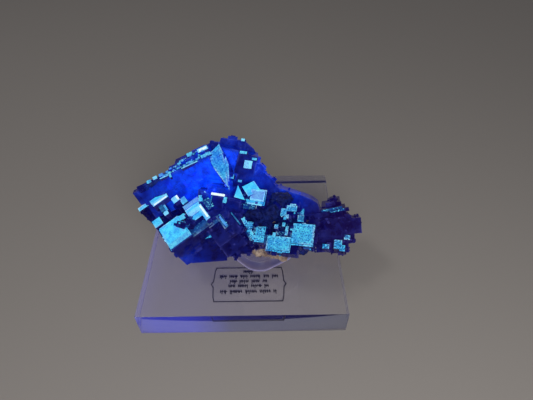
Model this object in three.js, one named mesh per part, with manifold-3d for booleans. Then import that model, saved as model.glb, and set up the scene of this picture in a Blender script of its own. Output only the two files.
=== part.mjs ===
// Fluorite specimen on a clear block: a cluster of cube-shaped fluorite crystals
// with black sphalerite, grown on a tan lump of calcite and barite. It leans back
// on a small clear riser, which stands on a block of clear acrylic with a thin
// label under it. Millimetres, +Z up, the front faces -Y, and the origin is in the
// middle of the block's underside.

import * as THREE from 'three';
import { mergeVertices } from 'three/addons/utils/BufferGeometryUtils.js';
import { ConvexGeometry } from 'three/addons/geometries/ConvexGeometry.js';
import Module from 'manifold-3d';

const wasm = await Module();
wasm.setup();

const degrees = Math.PI / 180;
const gap = 0.3; // between neighbouring pieces
const beyond = 300; // wider than the whole object
const weld = 0.01; // edges shorter than this are closed up

const base = { side: 100, height: 15 };

// The label lies in a shallow recess under the block, towards its front.
const label = { x: 2.2, y: -26, width: 42, depth: 24, thickness: 0.2, below: 0.15 };

// The riser's plan: corners of its outline, rounded, and drawn in towards the top.
const riser = {
  corners: [[7, -28], [29, -15], [16, 9], [-9, 6], [-14, -9]],
  cornerRadius: 7,
  cornerSteps: 5,
  height: 5.2,
  uprightSide: 1.5,
  topScale: 0.86,
};

// Everything mineral is laid out on a tilted plane, the side that the specimen shows:
// x to the right, y up the slope, z out of it towards the front.
const display = { middle: [1, -2, 40], lean: 45.7 };
const lowestMineral = 17;

// Small cubes that stand a little proud of the sides of large ones.
const step = { seed: 11, smallest: 1.4, spread: 2.6, proud: 0.15, proudSpread: 0.3 };
// Small crystals between the large ones.
const smallCrystal = { tip: 50, yaw: 50, depthToSize: 2.4 };

// How the two lumpy minerals are cut into facets.
const sphaleriteCut = { points: 16, seed: 5 };
const matrixCut = { points: 19, seed: 23 };
const lumpSwell = { least: 0.84, spread: 0.22 };

// ---------------------------------------------------------------- solids

function toSolid(geometry) {
  const bare = geometry.clone();
  bare.deleteAttribute('normal');
  bare.deleteAttribute('uv');
  const merged = mergeVertices(bare, 1e-5);
  return new wasm.Manifold(new wasm.Mesh({
    numProp: 3,
    vertProperties: new Float32Array(merged.attributes.position.array),
    triVerts: new Uint32Array(merged.index.array),
  }));
}

function toGeometry(solid) {
  const mesh = solid.simplify(weld).getMesh();
  const geometry = new THREE.BufferGeometry();
  geometry.setAttribute('position', new THREE.BufferAttribute(mesh.vertProperties, 3));
  geometry.setIndex(new THREE.BufferAttribute(mesh.triVerts, 1));
  geometry.computeVertexNormals();
  return geometry;
}

// Joins pairs, then pairs of pairs, which is quicker than one after another.
function join(solids) {
  let row = solids;
  while (row.length > 1) {
    const next = [];
    for (let i = 0; i < row.length; i += 2) {
      next.push(i + 1 < row.length ? row[i].add(row[i + 1]) : row[i]);
    }
    row = next;
  }
  return row[0];
}

function largestBody(solid) {
  const bodies = solid.decompose();
  return bodies.reduce((best, body) => (body.volume() > best.volume() ? body : best));
}

function named(name, geometry, color, roughness, extra = {}) {
  const material = new THREE.MeshStandardMaterial({ color, roughness, metalness: 0, ...extra });
  const mesh = new THREE.Mesh(geometry, material);
  mesh.name = name;
  return mesh;
}

function randomFrom(seed) {
  let state = seed;
  return () => {
    state = (state * 1664525 + 1013904223) % 4294967296;
    return state / 4294967296;
  };
}

// ---------------------------------------------------------------- clear holder

function slab(width, depth, height, x, y, z) {
  const geometry = new THREE.BoxGeometry(width, depth, height);
  geometry.translate(x, y, z + height / 2);
  return geometry;
}

function acrylicBase() {
  const block = toSolid(slab(base.side, base.side, base.height, 0, 0, 0));
  const roof = label.below + label.thickness + gap;
  const recess = slab(label.width + 2 * gap, label.depth + 2 * gap, roof + 1, label.x, label.y, -1);
  return toGeometry(block.subtract(toSolid(recess)));
}

function baseLabel() {
  return slab(label.width, label.depth, label.thickness, label.x, label.y, label.below);
}

// A polygon whose corners are rounded with quadratic curves.
function roundedOutline(corners, radius, stepsPerCorner) {
  const points = corners.map(([x, y]) => new THREE.Vector2(x, y));
  const outline = [];
  points.forEach((corner, i) => {
    const before = points[(i + points.length - 1) % points.length];
    const after = points[(i + 1) % points.length];
    const from = corner.clone().add(before.clone().sub(corner).setLength(radius));
    const to = corner.clone().add(after.clone().sub(corner).setLength(radius));
    const curve = new THREE.QuadraticBezierCurve(from, corner, to);
    outline.push(...curve.getPoints(stepsPerCorner));
  });
  return outline;
}

function acrylicRiser(grown) {
  const outline = roundedOutline(riser.corners, riser.cornerRadius, riser.cornerSteps);
  const middle = new THREE.Vector2();
  outline.forEach((point) => middle.addScaledVector(point, 1 / outline.length));
  const foot = base.height + gap;
  const top = base.height + riser.height;
  const levels = [
    [foot - grown, 1],
    [foot + riser.uprightSide, 1],
    [top + grown, riser.topScale],
  ];
  const points = levels.flatMap(([z, scale]) => outline.map((point) => {
    const arm = point.clone().sub(middle);
    const drawn = arm.setLength(arm.length() * scale + grown).add(middle);
    return new THREE.Vector3(drawn.x, drawn.y, z);
  }));
  return new ConvexGeometry(points);
}

// ---------------------------------------------------------------- the display plane

function displayMatrix() {
  const lean = new THREE.Matrix4().makeRotationX(display.lean * degrees);
  return new THREE.Matrix4().makeTranslation(...display.middle).multiply(lean);
}

// A place on the display plane, turned by a spin, a tip and a yaw in degrees.
function placement(origin, turn = [0, 0, 0]) {
  const [spin, tip, yaw] = turn;
  const euler = new THREE.Euler(tip * degrees, yaw * degrees, spin * degrees, 'ZXY');
  const own = new THREE.Matrix4().makeRotationFromEuler(euler).setPosition(...origin);
  return displayMatrix().multiply(own);
}

// Keeps what is above a level plane.
function trimmedAbove(solid, level) {
  const cutter = slab(beyond, beyond, beyond, 0, 0, level - beyond);
  return solid.subtract(toSolid(cutter));
}

// ---------------------------------------------------------------- fluorite

// Crystals that share one lattice direction: where the group starts, how it is turned
// (spin, tip and yaw in degrees) and its cubes, each as
// [left, right, bottom, top, height of its face, depth], measured in the turned frame.
// A wedge is a block with a polygon for its face. "steps" small cubes sit on the sides
// of the largest cubes, parallel to them.
const crystalGroups = {
  broadPlate: {
    origin: [-16.9, 23.8, 9.5],
    turn: [28, 30, -10],
    steps: 5,
    cubes: [
      [-41, -24, -19, -0.4, 0, 3.4],
      [-26, -10, -20, 0, 0, 5],
      [-12, 0, -20, 0, 0, 7],
      [-43.4, -30, -9, -1, -0.4, 3.4],
      [-20, 0.4, -21, 0, -1.2, 15],
      [-9, 0.4, -4, 1, -4.5, 9],
      [-8.6, -1, -6, 2.6, -3, 7],
      [-15, -8, -9, 2, -3.5, 6],
      [-22, -12, -10, 1, -2.5, 5],
      [-36, -12, -17, -4, -3, 12],
    ],
  },
  wedgeFace: {
    origin: [-17.3, 24.2, 7],
    turn: [34, -14, 0],
    steps: 0,
    cubes: [
      [2.6, 7.2, -3.4, -0.6, 0.4, 8],
    ],
    wedges: [
      {
        outline: [[0, 0.4], [7.8, 1.9], [7.2, -1.8], [4, -10.6], [-0.4, -19.3], [-1, -7]],
        face: 0,
        depth: 15,
      },
      {
        outline: [[7, -5], [6, -9.5], [2, -14.6], [-0.6, -20.6], [1, -10]],
        face: -0.8,
        depth: 14,
      },
    ],
  },
  crownFaces: {
    origin: [-10.9, 29.2, 5],
    turn: [-16, 16, 6],
    steps: 3,
    cubes: [
      [-2, 12, -21, 0, 0, 13],
      [9.2, 19, -11, -0.4, 3, 14],
      [9.6, 13.2, -2, 0.4, 2, 10],
      [11, 19.5, -24, -9, 0.5, 13],
    ],
  },
  crownBack: {
    origin: [-11.8, 34.4, -2],
    turn: [-8, 10, 4],
    steps: 5,
    cubes: [
      [3.5, 8.4, -8, 1.6, -1, 11],
      [-5.6, 3, -12, -2.2, -1, 12],
      [9, 13, -10, 0.2, 0.8, 9],
    ],
    wedges: [
      {
        outline: [
          [0, 0.2], [12.3, 0], [17.6, -3.6], [24, -13.8], [20, -26], [2, -18], [-2, -8],
        ],
        face: 0,
        depth: 13,
      },
      {
        outline: [[20, -10], [24, -14], [30.6, -19.4], [35, -23.4], [30, -31], [18, -28]],
        face: -1,
        depth: 11,
      },
    ],
  },
  lowerBlock: {
    origin: [-34.7, -19.4, 14],
    turn: [40, -32, 8],
    steps: 8,
    cubes: [
      [0, 10.8, 0, 12.6, 0, 5],
      [-0.6, 11.4, -1.4, 13, -1.2, 21],
      [9, 22.6, -1.4, 13, -3, 26],
      [20, 30, -2, 10, -4, 29],
      [-1.2, 3.3, 13.9, 18.6, 0.3, 9],
      [3.5, 12.7, 25.6, 28.5, 2.6, 12],
      [-3.8, 4, 29, 31.4, 0, 15],
      [-2, 18, 11, 31, -8, 10],
      [12.8, 16.5, 18.8, 22.2, 1.5, 12],
      [16.1, 18.7, 15.7, 19.7, 0.5, 11],
      [6.3, 8, 16.1, 18.8, 1, 11],
      [6.4, 8.7, 19.4, 24.8, -0.4, 10],
      [15.3, 23.2, 11.8, 15.4, -0.9, 10],
      [15.2, 22.8, 3.5, 11.8, 0.5, 8],
      [20.9, 23.3, -0.6, 9, 0.5, 9],
      [10.9, 13.8, 9.2, 12, -0.3, 6],
      [25.6, 27.6, -8.2, 1, -3, 18],
    ],
  },
  litPair: {
    origin: [5.1, 11.6, 6],
    turn: [33, -31, 13],
    steps: 1,
    cubes: [
      [-6.6, 0.1, -6.6, 0.2, 0, 5],
      [-11, 0, -9, -1, -4.5, 10],
    ],
    wedges: [
      {
        outline: [[-7.9, 1.9], [-12.7, -3.5], [-9, -7.9]],
        face: 0.4,
        depth: 9,
      },
    ],
  },
  litStep: {
    origin: [4.1, 8.1, 8],
    turn: [-11, -6, -12],
    steps: 1,
    cubes: [
      [0.2, 7, -7.1, -0.2, 0, 4],
      [-3.4, 4, -7.5, -5.6, -0.8, 5],
      [-3.4, 3.4, -10.8, -6.5, -2.4, 8],
      [0, 7.4, -7.6, 0.2, -1.2, 12],
    ],
  },
  darkFront: {
    origin: [-15.6, 4.4, 10],
    turn: [-8, 18, -16],
    steps: 1,
    cubes: [
      [0, 6.6, -6, 0.7, 0, 6],
      [6, 15, -5, 0.6, -1.8, 8],
      [8.6, 14.8, -6, -0.2, -1, 6],
      [-5, 9, -16, -3, -2.5, 14],
      [-9, -3, -8, 0.6, -4, 10],
      [-4, 8, -2, 3.6, -4, 12],
    ],
  },
  darkBlocks: {
    origin: [-8.7, -1.5, 8],
    turn: [35, 10, 0],
    steps: 4,
    cubes: [
      [-14, 0, -14, 0, 0, 16],
      [-11, 4, -9, 3, -1.5, 16],
      [-14, -2, -21, -11, -1, 14],
      [0, 12, -18, -4, -2, 14],
    ],
  },
  foot: {
    origin: [-29.4, -30, -2.6],
    turn: [3, 23, 3],
    steps: 3,
    cubes: [
      [2, 20, -3, 21, 0, 18],
      [15, 23, 2, 18, -1.6, 15],
      [17, 25, 6, 16, -2.4, 15],
    ],
  },
  frontLumps: {
    origin: [-4.9, -27.8, -3],
    turn: [-4, 20, 2],
    steps: 4,
    cubes: [
      [-4, 10, 1.2, 15, 0, 12],
      [-1, 7, -0.2, 8, -0.6, 10],
      [6, 13, 3.4, 13, -0.8, 12],
      [-6, 0, 4, 15, -1.4, 12],
    ],
  },
  litStreak: {
    origin: [1, -6, 7],
    turn: [30, -25, 0],
    steps: 0,
    cubes: [
      [-2.6, -0.6, -12.4, 0.6, 0, 12],
      [-4, 1, -13, -3, -2.8, 11],
    ],
  },
  rightCluster: {
    origin: [23.9, -9.2, 8],
    turn: [-11, -22, -17],
    steps: 6,
    cubes: [
      [0.2, 10.7, -10.2, 0, 0, 4],
      [0.2, 10.9, -11, 0.2, -0.8, 7],
      [-11.5, 0, -14.3, -7.4, 0, 4],
      [-11.8, 0.3, -15, -7.2, -0.8, 6],
      [-19.9, -13.3, -11.6, -2.6, -1.2, 9],
      [-15, -9, -11, -6, -3, 9],
      [-9, 10, -8, 1, -5, 10],
      [-9, 3, -2, 13, -8.5, 6],
      [-6.6, -3.6, 2.7, 6.7, 1.6, 12],
      [-4.9, -2.4, 1.7, 3.8, 1.2, 12],
      [-4, 1.2, 5.5, 8.6, 1.4, 12],
      [-2.6, 0.4, 7.6, 9.7, 1, 12],
      [1.8, 5, 1.1, 4.5, -0.4, 10],
      [-9.2, -7.2, -3.3, -1.2, -0.6, 8],
      [-5.1, -3.6, -2.3, -0.2, 0.4, 8],
      [-3.2, -1.7, -6.8, -2.2, 0.6, 8],
      [-1.1, 0.3, -3.7, -1.6, -0.4, 8],
      [-8.3, -6, 10, 12.8, -0.5, 11],
    ],
  },
  farFacets: {
    origin: [44, -20, 2.5],
    turn: [-11, -22, -17],
    steps: 0,
    cubes: [
      [0.6, 4.6, -2.6, 2.2, 0, 6],
      [3.4, 6.2, -3.4, -0.2, -0.5, 5.5],
      [5.2, 8.2, 2.8, 5.3, -0.4, 6],
      [-5, -1.6, -3, -0.6, 0, 6],
    ],
  },
  rightShoulder: {
    origin: [9.1, 19.1, -1],
    turn: [-42, 8, 4],
    steps: 3,
    cubes: [
      [-9, 2, -8, 0.8, 0, 12],
      [-1, 10, -9, -1.4, 0.6, 12],
      [6, 15.6, -9, -2.4, 0, 11],
    ],
  },
  violetShoulder: {
    origin: [19.7, 7.3, -3],
    turn: [-14, 12, -6],
    steps: 4,
    cubes: [
      [13, 22.6, -15, -6, -2, 12],
    ],
    wedges: [
      {
        outline: [
          [-4, 0.6], [4.5, -0.4], [11.3, -0.4], [15, -1],
          [18.6, -2.2], [20.6, -5], [20.6, -10], [-2, -10],
        ],
        face: 0,
        depth: 12,
      },
    ],
  },
  violetTip: {
    origin: [48.5, 3.3, -3],
    turn: [14, 14, -12],
    steps: 3,
    cubes: [
      [-10, -0.6, -14, -3.4, 0, 11],
      [-6.6, 0, -14, -2.6, -1, 11],
      [-3, 2, -14, -7, -1.6, 9],
    ],
  },
  farEnd: {
    origin: [38.1, -7.2, 0],
    turn: [4, 6, -6],
    steps: 9,
    cubes: [
      [-5, 13, -15, -0.4, 0, 14],
      [11, 20.6, -9.4, -1.4, -1.5, 11],
      [12, 17, -14.5, -6, -2.5, 11],
      [4.6, 13.6, -19, -9, -1.5, 12],
      [8, 12, -20.4, -14, -2.5, 11],
      [-3, 5, -18, -9, -1, 12],
      [-5.6, 5, -6, 2.2, -1.4, 10],
    ],
  },
};

// Patches of small crystals at all angles, each as
// [x, y, z, half width, half height, count, smallest size, largest size].
const smallCrystalPatches = [
  [-25.5, -10, 9.5, 4, 2.2, 6, 1.8, 3.2],
  [-18, 1, 6.5, 3, 4, 5, 1.8, 3],
  [2, -1.5, 5.5, 4, 1.6, 4, 1.4, 2.4],
  [-9, -8, 8.5, 5, 6, 3, 1.6, 2.6],
  [41, -9, 1, 4, 3, 4, 1.8, 3.4],
  [22, -1, 3.5, 6, 4, 4, 1.6, 2.8],
];

function cubeSolid(frame, [left, right, bottom, top, face, depth], grown) {
  const geometry = new THREE.BoxGeometry(
    right - left + 2 * grown,
    top - bottom + 2 * grown,
    depth + 2 * grown,
  );
  geometry.translate((left + right) / 2, (bottom + top) / 2, face - depth / 2);
  geometry.applyMatrix4(frame);
  return toSolid(geometry);
}

// A block whose face is a polygon of the group's plane.
function wedgeSolid(frame, { outline, face, depth }, grown) {
  const points = outline.map(([x, y]) => new THREE.Vector2(x, y));
  const middle = new THREE.Vector2();
  points.forEach((point) => middle.addScaledVector(point, 1 / points.length));
  const corners = points.flatMap((point) => {
    const arm = point.clone().sub(middle);
    const drawn = arm.setLength(arm.length() + 2 * grown).add(middle);
    return [face + grown, face - depth - grown].map((z) => (
      new THREE.Vector3(drawn.x, drawn.y, z)
    ));
  });
  const geometry = new ConvexGeometry(corners);
  geometry.applyMatrix4(frame);
  return toSolid(geometry);
}

// The small cubes of a group, on the sides of its three largest cubes.
function stepCubes(group, random) {
  const bulk = ([left, right, bottom, top, , depth]) => (right - left) * (top - bottom) * depth;
  const large = [...group.cubes].sort((a, b) => bulk(b) - bulk(a)).slice(0, 3);
  return Array.from({ length: group.steps }, (_, i) => {
    const [left, right, bottom, top, face, depth] = large[i % large.length];
    const size = step.smallest + step.spread * random();
    const along = random();
    const proud = size * (step.proud + step.proudSpread * random());
    const drop = (0.15 + 0.75 * random()) * (depth - size);
    const across = left + along * (right - left - size);
    const up = bottom + along * (top - bottom - size);
    const sides = [
      [left - proud, up],
      [right + proud - size, up],
      [across, bottom - proud],
      [across, top + proud - size],
    ];
    const [x, y] = sides[Math.floor(random() * sides.length)];
    return [x, x + size * (0.8 + 0.5 * random()), y, y + size, face - drop, size];
  });
}

function fluoriteSolid(grown) {
  const random = randomFrom(step.seed);
  const cubes = [];
  for (const group of Object.values(crystalGroups)) {
    const frame = placement(group.origin, group.turn);
    for (const cube of [...group.cubes, ...stepCubes(group, random)]) {
      cubes.push(cubeSolid(frame, cube, grown));
    }
    for (const wedge of group.wedges ?? []) {
      cubes.push(wedgeSolid(frame, wedge, grown));
    }
  }
  for (const [x, y, z, width, height, count, smallest, largest] of smallCrystalPatches) {
    for (let i = 0; i < count; i += 1) {
      const size = smallest + (largest - smallest) * random();
      const place = [x + width * (2 * random() - 1), y + height * (2 * random() - 1), z];
      const turn = [
        90 * random(),
        smallCrystal.tip * (random() - 0.6),
        smallCrystal.yaw * (random() - 0.5),
      ];
      const half = size / 2;
      const top = half * (1 + random());
      const cube = [-half, half, -half, top, half, smallCrystal.depthToSize * size];
      cubes.push(cubeSolid(placement(place, turn), cube, grown));
    }
  }
  return trimmedAbove(join(cubes), lowestMineral - grown);
}

// ---------------------------------------------------------------- lumps of other minerals

// A lump: a hull of points scattered on an ellipsoid, so it has flat, uneven faces.
// Each is [x, y, z, half width, half height, half depth].
const sphaleriteLumps = [
  [6, -5, 2, 8, 7, 8],
  [13, -4, 2, 8, 7, 8],
  [18, 2, -1, 8, 5.5, 8],
  [22, -12, -2, 9, 9, 8],
  [16, -17, -3, 9, 8, 8],
  [10, -11, 0, 6, 5, 6],
  [20, -23, -8, 9, 6, 6],
  [28, -23, -8, 8, 6, 6],
  [34, -21, -7, 7, 5, 7],
];

const matrixLumps = [
  [-4, 4, -15, 24, 18, 12],
  [-26, 6, -13, 19, 13, 11],
  [-39, 5, -11, 13, 9, 9],
  [20, -5, -14, 20, 14, 11],
  [-3, 18, -14, 12, 11, 8],
  [8, 7, -15, 10, 8, 8],
  [13, -25, -8, 13, 10.5, 9],
  [10, -20, -14, 13, 9, 9],
  [-4, -20, -8, 15, 10, 9],
  [40, -10, -12, 15, 10, 9],
  [-24, -8, -12, 16, 12, 11],
  [28, -18, -9, 12, 8, 8],
  [2, -7, -23, 20, 12, 9],
];

function lumpSolid(lump, pointCount, random, grown) {
  const [x, y, z, width, height, depth] = lump;
  const turn = Math.PI * (3 - Math.sqrt(5)); // golden angle, an even spiral of points
  const points = Array.from({ length: pointCount }, (_, i) => {
    const up = 1 - (2 * (i + 0.5)) / pointCount;
    const around = i * turn + 0.9 * random();
    const reach = Math.sqrt(1 - up * up);
    const swell = lumpSwell.least + lumpSwell.spread * random();
    return new THREE.Vector3(
      (width * swell + grown) * reach * Math.cos(around),
      (height * swell + grown) * reach * Math.sin(around),
      (depth * swell + grown) * up,
    );
  });
  const geometry = new ConvexGeometry(points);
  geometry.applyMatrix4(placement([x, y, z]));
  return toSolid(geometry);
}

function lumps(list, cut, grown) {
  const random = randomFrom(cut.seed);
  return join(list.map((lump) => lumpSolid(lump, cut.points, random, grown)));
}

// ---------------------------------------------------------------- the specimen

// Each mineral makes room for the riser and for the minerals before it.
const riserRoom = toSolid(acrylicRiser(gap));
const fluorite = largestBody(fluoriteSolid(0).subtract(riserRoom));
const fluoriteRoom = fluoriteSolid(gap).add(riserRoom);
const sphalerite = largestBody(
  trimmedAbove(lumps(sphaleriteLumps, sphaleriteCut, 0), lowestMineral).subtract(fluoriteRoom),
);
const sphaleriteRoom = lumps(sphaleriteLumps, sphaleriteCut, gap * 1.5);
const matrix = largestBody(
  trimmedAbove(lumps(matrixLumps, matrixCut, 0), lowestMineral)
    .subtract(fluoriteRoom.add(sphaleriteRoom)),
);

const specimen = new THREE.Group();
const clear = { transparent: true, opacity: 0.35 };
specimen.add(named('acrylic_base', acrylicBase(), 0xc9c6cf, 0.05, clear));
specimen.add(named('acrylic_riser', acrylicRiser(0), 0xb9b4d0, 0.08, clear));
specimen.add(named('base_label', baseLabel(), 0x4a4650, 0.5));
specimen.add(named('fluorite', toGeometry(fluorite), 0x1c22b8, 0.18));
specimen.add(named('sphalerite', toGeometry(sphalerite), 0x0c0a14, 0.3));
specimen.add(named('calcite_matrix', toGeometry(matrix), 0x8d7a66, 0.8));

export default specimen;
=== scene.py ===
# Fluorite specimen on a clear block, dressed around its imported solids. Metres, +Z up,
# and the showing side faces -Y.

import math
import random

import bmesh
import bpy
from mathutils import Matrix, Vector, noise
from mathutils.bvhtree import BVHTree
from mathutils.kdtree import KDTree


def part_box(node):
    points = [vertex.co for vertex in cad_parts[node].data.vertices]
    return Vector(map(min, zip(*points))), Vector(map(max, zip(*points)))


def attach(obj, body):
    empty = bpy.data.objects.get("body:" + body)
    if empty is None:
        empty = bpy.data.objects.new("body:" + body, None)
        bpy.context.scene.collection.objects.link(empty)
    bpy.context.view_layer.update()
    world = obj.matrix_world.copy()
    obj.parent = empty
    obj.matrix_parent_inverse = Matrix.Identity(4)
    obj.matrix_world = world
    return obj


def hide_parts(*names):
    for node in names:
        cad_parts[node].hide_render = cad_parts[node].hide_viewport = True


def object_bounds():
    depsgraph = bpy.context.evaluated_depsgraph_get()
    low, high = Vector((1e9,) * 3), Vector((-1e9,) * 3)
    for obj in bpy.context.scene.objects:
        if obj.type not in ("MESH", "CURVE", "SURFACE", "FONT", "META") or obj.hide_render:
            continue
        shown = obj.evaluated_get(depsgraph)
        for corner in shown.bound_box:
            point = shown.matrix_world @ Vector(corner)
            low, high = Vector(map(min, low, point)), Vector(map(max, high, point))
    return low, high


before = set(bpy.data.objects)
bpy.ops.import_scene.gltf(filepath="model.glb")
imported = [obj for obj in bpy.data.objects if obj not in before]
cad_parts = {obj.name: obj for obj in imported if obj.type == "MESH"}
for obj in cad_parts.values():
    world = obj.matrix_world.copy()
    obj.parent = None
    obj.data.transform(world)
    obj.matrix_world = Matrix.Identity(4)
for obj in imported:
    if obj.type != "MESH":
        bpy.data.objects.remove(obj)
cad_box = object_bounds()

# ---------------------------------------------------------------- fluorite crystals
# The fluorite is one mass of intergrown cubes, deep violet to ultramarine and
# see-through at its thin edges, which carry a painted pale sheen. The faces that point up
# are etched to a frost of tiny square hillocks and painted pale blue to white as lit
# faces, and the large front faces glow from inside.

mm = 0.001

# The show side is laid out on a plane that leans back through the middle of the specimen.
lean = math.radians(45.7)
display = Matrix.Translation((1 * mm, -2 * mm, 40 * mm)) @ Matrix.Rotation(lean, 4, "X")


def lattice(origin, turn):
    """The frame of crystals that share one direction: millimetres on the display plane, degrees."""
    spin, tip, yaw = (math.radians(angle) for angle in turn)
    turned = Matrix.Rotation(spin, 4, "Z") @ Matrix.Rotation(tip, 4, "X") @ Matrix.Rotation(yaw, 4, "Y")
    return display @ Matrix.Translation(Vector(origin) * mm) @ turned


# The groups of crystals: each one's origin, and its spin, tip and yaw.
frames = {
    "broad_plate": lattice((-16.9, 23.8, 9.5), (28, 30, -10)),
    "wedge_face": lattice((-17.3, 24.2, 7), (34, -14, 0)),
    "crown_faces": lattice((-10.9, 29.2, 5), (-16, 16, 6)),
    "crown_back": lattice((-11.8, 34.4, -2), (-8, 10, 4)),
    "lower_block": lattice((-34.7, -19.4, 14), (40, -32, 8)),
    "lit_pair": lattice((5.1, 11.6, 6), (33, -31, 13)),
    "lit_step": lattice((4.1, 8.1, 8), (-11, -6, -12)),
    "dark_front": lattice((-15.6, 4.4, 10), (-8, 18, -16)),
    "dark_blocks": lattice((-8.7, -1.5, 8), (35, 10, 0)),
    "foot": lattice((-29.4, -30, -2.6), (3, 23, 3)),
    "front_lumps": lattice((-4.9, -27.8, -3), (-4, 20, 2)),
    "lit_streak": lattice((1, -6, 7), (30, -25, 0)),
    "right_cluster": lattice((23.9, -9.2, 8), (-11, -22, -17)),
    "far_facets": lattice((44, -20, 2.5), (-11, -22, -17)),
    "right_shoulder": lattice((9.1, 19.1, -1), (-42, 8, 4)),
    "violet_shoulder": lattice((19.7, 7.3, -3), (-14, 12, -6)),
    "violet_tip": lattice((48.5, 3.3, -3), (14, 14, -12)),
    "far_end": lattice((38.1, -7.2, 0), (4, 6, -6)),
    "plate_rim": lattice((-17, 23.8, 9.5), (28, -30, 6)),
}

# The etched sets, frosted and painted pale as lit faces: the lowest face that is frosted
# right over, the lowest that is half frosted (both in mm along the set's own axis), how
# white its painted highlight is and how coarse the frost is.
etched_lit_sets = {
    "lower_block": (-1.6, -4.5, 1, 0.25),
    "wedge_face": (-1.4, -2, 0.8, 0.5),
    "lit_pair": (-1, -5, 1, 0.15),
    "lit_step": (-1.5, -3, 0.9, 0.3),
    "lit_streak": (-0.4, -3, 0.8, 1),
    "right_cluster": (-1.5, -6, 0.78, 0.75),
    "far_facets": (-0.8, -1, 0.7, 0.9),
}
half_frost = 0.3
# How far a set's frost reaches (mm), and how squarely a face has to point its way.
frost_reach = 42
frost_facing = 0.99

# The fluorescing faces: the depths (mm) that the face lies between, where on the display
# plane its light gathers and how far it spreads (mm), and its strength.
glowing_sets = {
    "broad_plate": (-1.6, 0.5, (-18, 15, 8), 27, 1),
    "crown_faces": (-1, 0.4, (-6, 24, 6), 10.5, 0.95),
}
glow_facing = 0.985
# The glow is shaded towards the upper edge of these faces, over this many millimetres.
edge_shadow = 4
shade_at_edge = 0.35
deepest_shade = 0.25

# The faint glows around them: the middle and the reach (mm), and the strength.
faint_glows = [
    ((-14, 12, 6), 18, 0.13),
    ((-6, 32, -2), 12, 0.18),
    ((10, 18, -3), 10, 0.5),
    ((26, 12, -3), 11, 0.5),
    ((-30, -28, 0), 8, 0.2),
    ((-12, 22, 7), 8, 0.35),
    ((-15.5, 8.5, 6), 5.5, 0.7),
    ((-7, 10, 8), 4.5, 0.5),
    ((-31, 20, 4), 8, 0.3),
    ((-21, 26, 6), 8, 0.4),
]


def host_frame(normal):
    """The crystals that a face belongs to: the ones with an axis along its normal."""
    def alignment(name):
        """How squarely the face lies across one of these crystals' axes, from 0 to 1."""
        return max(abs(normal.dot(frames[name].col[i].to_3d())) for i in range(3))

    return max(frames, key=alignment)


def frosting_of(centre, normal):
    """How frosted a face is and how brightly it is painted as lit, from 0 to 1, and the set that it
    belongs to.
    """
    for name, (full, half, strength, _) in etched_lit_sets.items():
        if normal.dot(frames[name].col[2].to_3d()) > frost_facing:
            place = frames[name].inverted() @ centre / mm
            if place.length < frost_reach and place.z > half:
                return (strength if place.z > full else half_frost), name
    return 0, ""


def glow_at(place, normal):
    """The inner glow of a point: strong on the fluorescing faces, fainter around them."""
    near = list(faint_glows)
    for name, (low, high, middle, reach, most) in glowing_sets.items():
        own = frames[name].inverted() @ place / mm
        if low < own.z < high and normal.dot(frames[name].col[2].to_3d()) > glow_facing:
            shade = max(deepest_shade, min(1, shade_at_edge - own.y / edge_shadow))
            near.append((middle, reach, most * shade))
    local = display.inverted() @ place / mm
    return max(
        most * math.exp(-((local - Vector(middle)).length / reach) ** 2)
        for middle, reach, most in near
    )


split_rounds = 6
weld_distance = 0.003 * mm
flat_angle = math.radians(0.6)


def refined(bm, length_of):
    """Splits the edges that are longer than length_of(edge) gives, in millimetres."""
    for _ in range(split_rounds):
        bm.normal_update()
        long_edges = [e for e in bm.edges if e.calc_length() > length_of(e) * mm]
        bmesh.ops.subdivide_edges(bm, edges=long_edges, cuts=1)
        wide = [f for f in bm.faces if len(f.verts) > 3]
        bmesh.ops.triangulate(bm, faces=wide, quad_method="BEAUTY", ngon_method="BEAUTY")
    bm.normal_update()


def solid_copy(name):
    """A welded copy of a CAD node's mesh, with flat areas joined up again."""
    bm = bmesh.new()
    bm.from_mesh(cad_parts[name].data)
    bmesh.ops.remove_doubles(bm, verts=bm.verts, dist=weld_distance)
    bmesh.ops.dissolve_limit(bm, angle_limit=flat_angle, use_dissolve_boundaries=False,
                             verts=bm.verts, edges=bm.edges, delimit={"NORMAL"})
    bmesh.ops.triangulate(bm, faces=bm.faces, quad_method="BEAUTY", ngon_method="BEAUTY")
    bm.normal_update()
    return bm


def shown(name, bm, sharp=None):
    """The mesh as an object: smooth between edges sharper than this many degrees, or all flat."""
    mesh = bpy.data.meshes.new(name)
    bm.to_mesh(mesh)
    bm.free()
    if sharp is None:
        mesh.shade_flat()
    else:
        mesh.shade_smooth()
        mesh.set_sharp_from_angle(angle=math.radians(sharp))
    piece = bpy.data.objects.new(name, mesh)
    bpy.context.scene.collection.objects.link(piece)
    return piece


bm = solid_copy("fluorite")
face_lit_frost = bm.faces.layers.float.new("lit_frosted")
face_grit = bm.faces.layers.float.new("grit")
hosts = []
# Each face keeps how frosted it is, which is also how brightly it is painted as lit.
for face in bm.faces:
    amount, name = frosting_of(face.calc_center_median(), face.normal)
    face[face_lit_frost] = amount
    face[face_grit] = etched_lit_sets[name][3] if name else 0
    hosts.append(([v.co.copy() for v in face.verts], face.normal.copy(), face.calc_area(), amount))
hosts_tree = BVHTree.FromBMesh(bm)

# How long an edge of the mesh may be, in mm, and how far down a face still counts as open.
etched_length = 0.5
open_length = 1
hidden_length = 2.5
open_tilt = -0.15


def crystal_length(edge):
    """The longest that this edge may be: finest on the etched faces, coarse underneath."""
    if any(f[face_lit_frost] > 0 for f in edge.link_faces):
        return etched_length
    most_upward = max(f.normal.z for f in edge.link_faces)
    return open_length if most_upward > open_tilt else hidden_length


refined(bm, crystal_length)

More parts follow.
